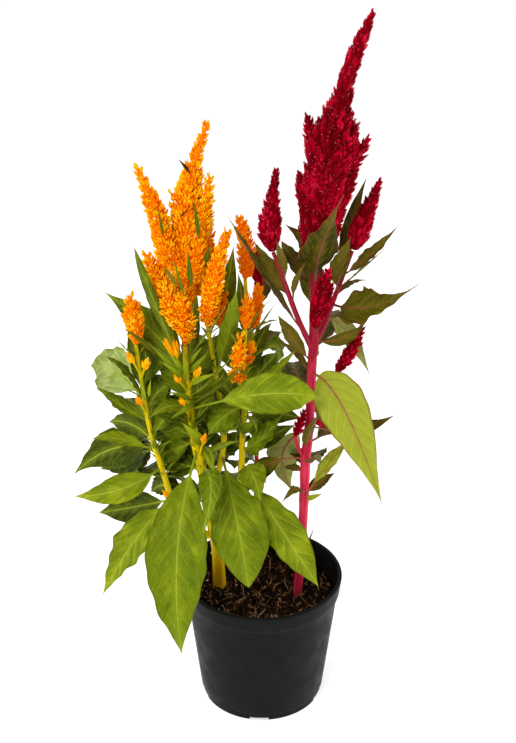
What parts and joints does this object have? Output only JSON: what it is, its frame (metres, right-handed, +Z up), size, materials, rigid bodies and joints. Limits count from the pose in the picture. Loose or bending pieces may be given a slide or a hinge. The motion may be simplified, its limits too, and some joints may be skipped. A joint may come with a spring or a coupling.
{
  "type": "potted plume celosia",
  "caption": "Potted plume celosia: orange and red feathery flower plumes on upright leafy stems, standing in soil in a round black nursery pot.",
  "frame": {"origin": "centre of the pot's underside, on the surface that the pot stands on", "axes": "+Z up along the pot's axis; -Y is the front, with the orange plant on the left (-X) and the red plant on the right (+X)"},
  "size_m": [0.314, 0.2085, 0.666],
  "materials": {
    "pot_plastic": "matt black injection-moulded plastic with a fine grain",
    "soil": "loose dark peat and bark crumbs",
    "orange_foliage": "soft satin leaf with paler raised veins, on a yellow stem",
    "red_foliage": "soft satin olive leaf with reddish veins, on a crimson stem",
    "orange_floret": "velvety orange-yellow florets",
    "red_floret": "velvety crimson florets with pale specks"
  },
  "bodies": {
    "root": {"pot": "pot_plastic", "soil": "soil", "orange_foliage": "orange_foliage", "red_foliage": "red_foliage", "red_foliage_back": "red_foliage", "orange_plume_main": "orange_floret", "orange_plume_inner": "orange_floret", "orange_plume_left": "orange_floret", "orange_plume_right": "orange_floret", "orange_plume_low_right": "orange_floret", "orange_plume_low_small": "orange_floret", "red_plume_main": "red_floret", "red_plume_left": "red_floret", "red_plume_right": "red_floret", "red_plume_front": "red_floret", "red_plume_low_right": "red_floret", "red_plume_low_left": "red_floret", "red_plume_back": "red_floret"}
  },
  "joints": []
}
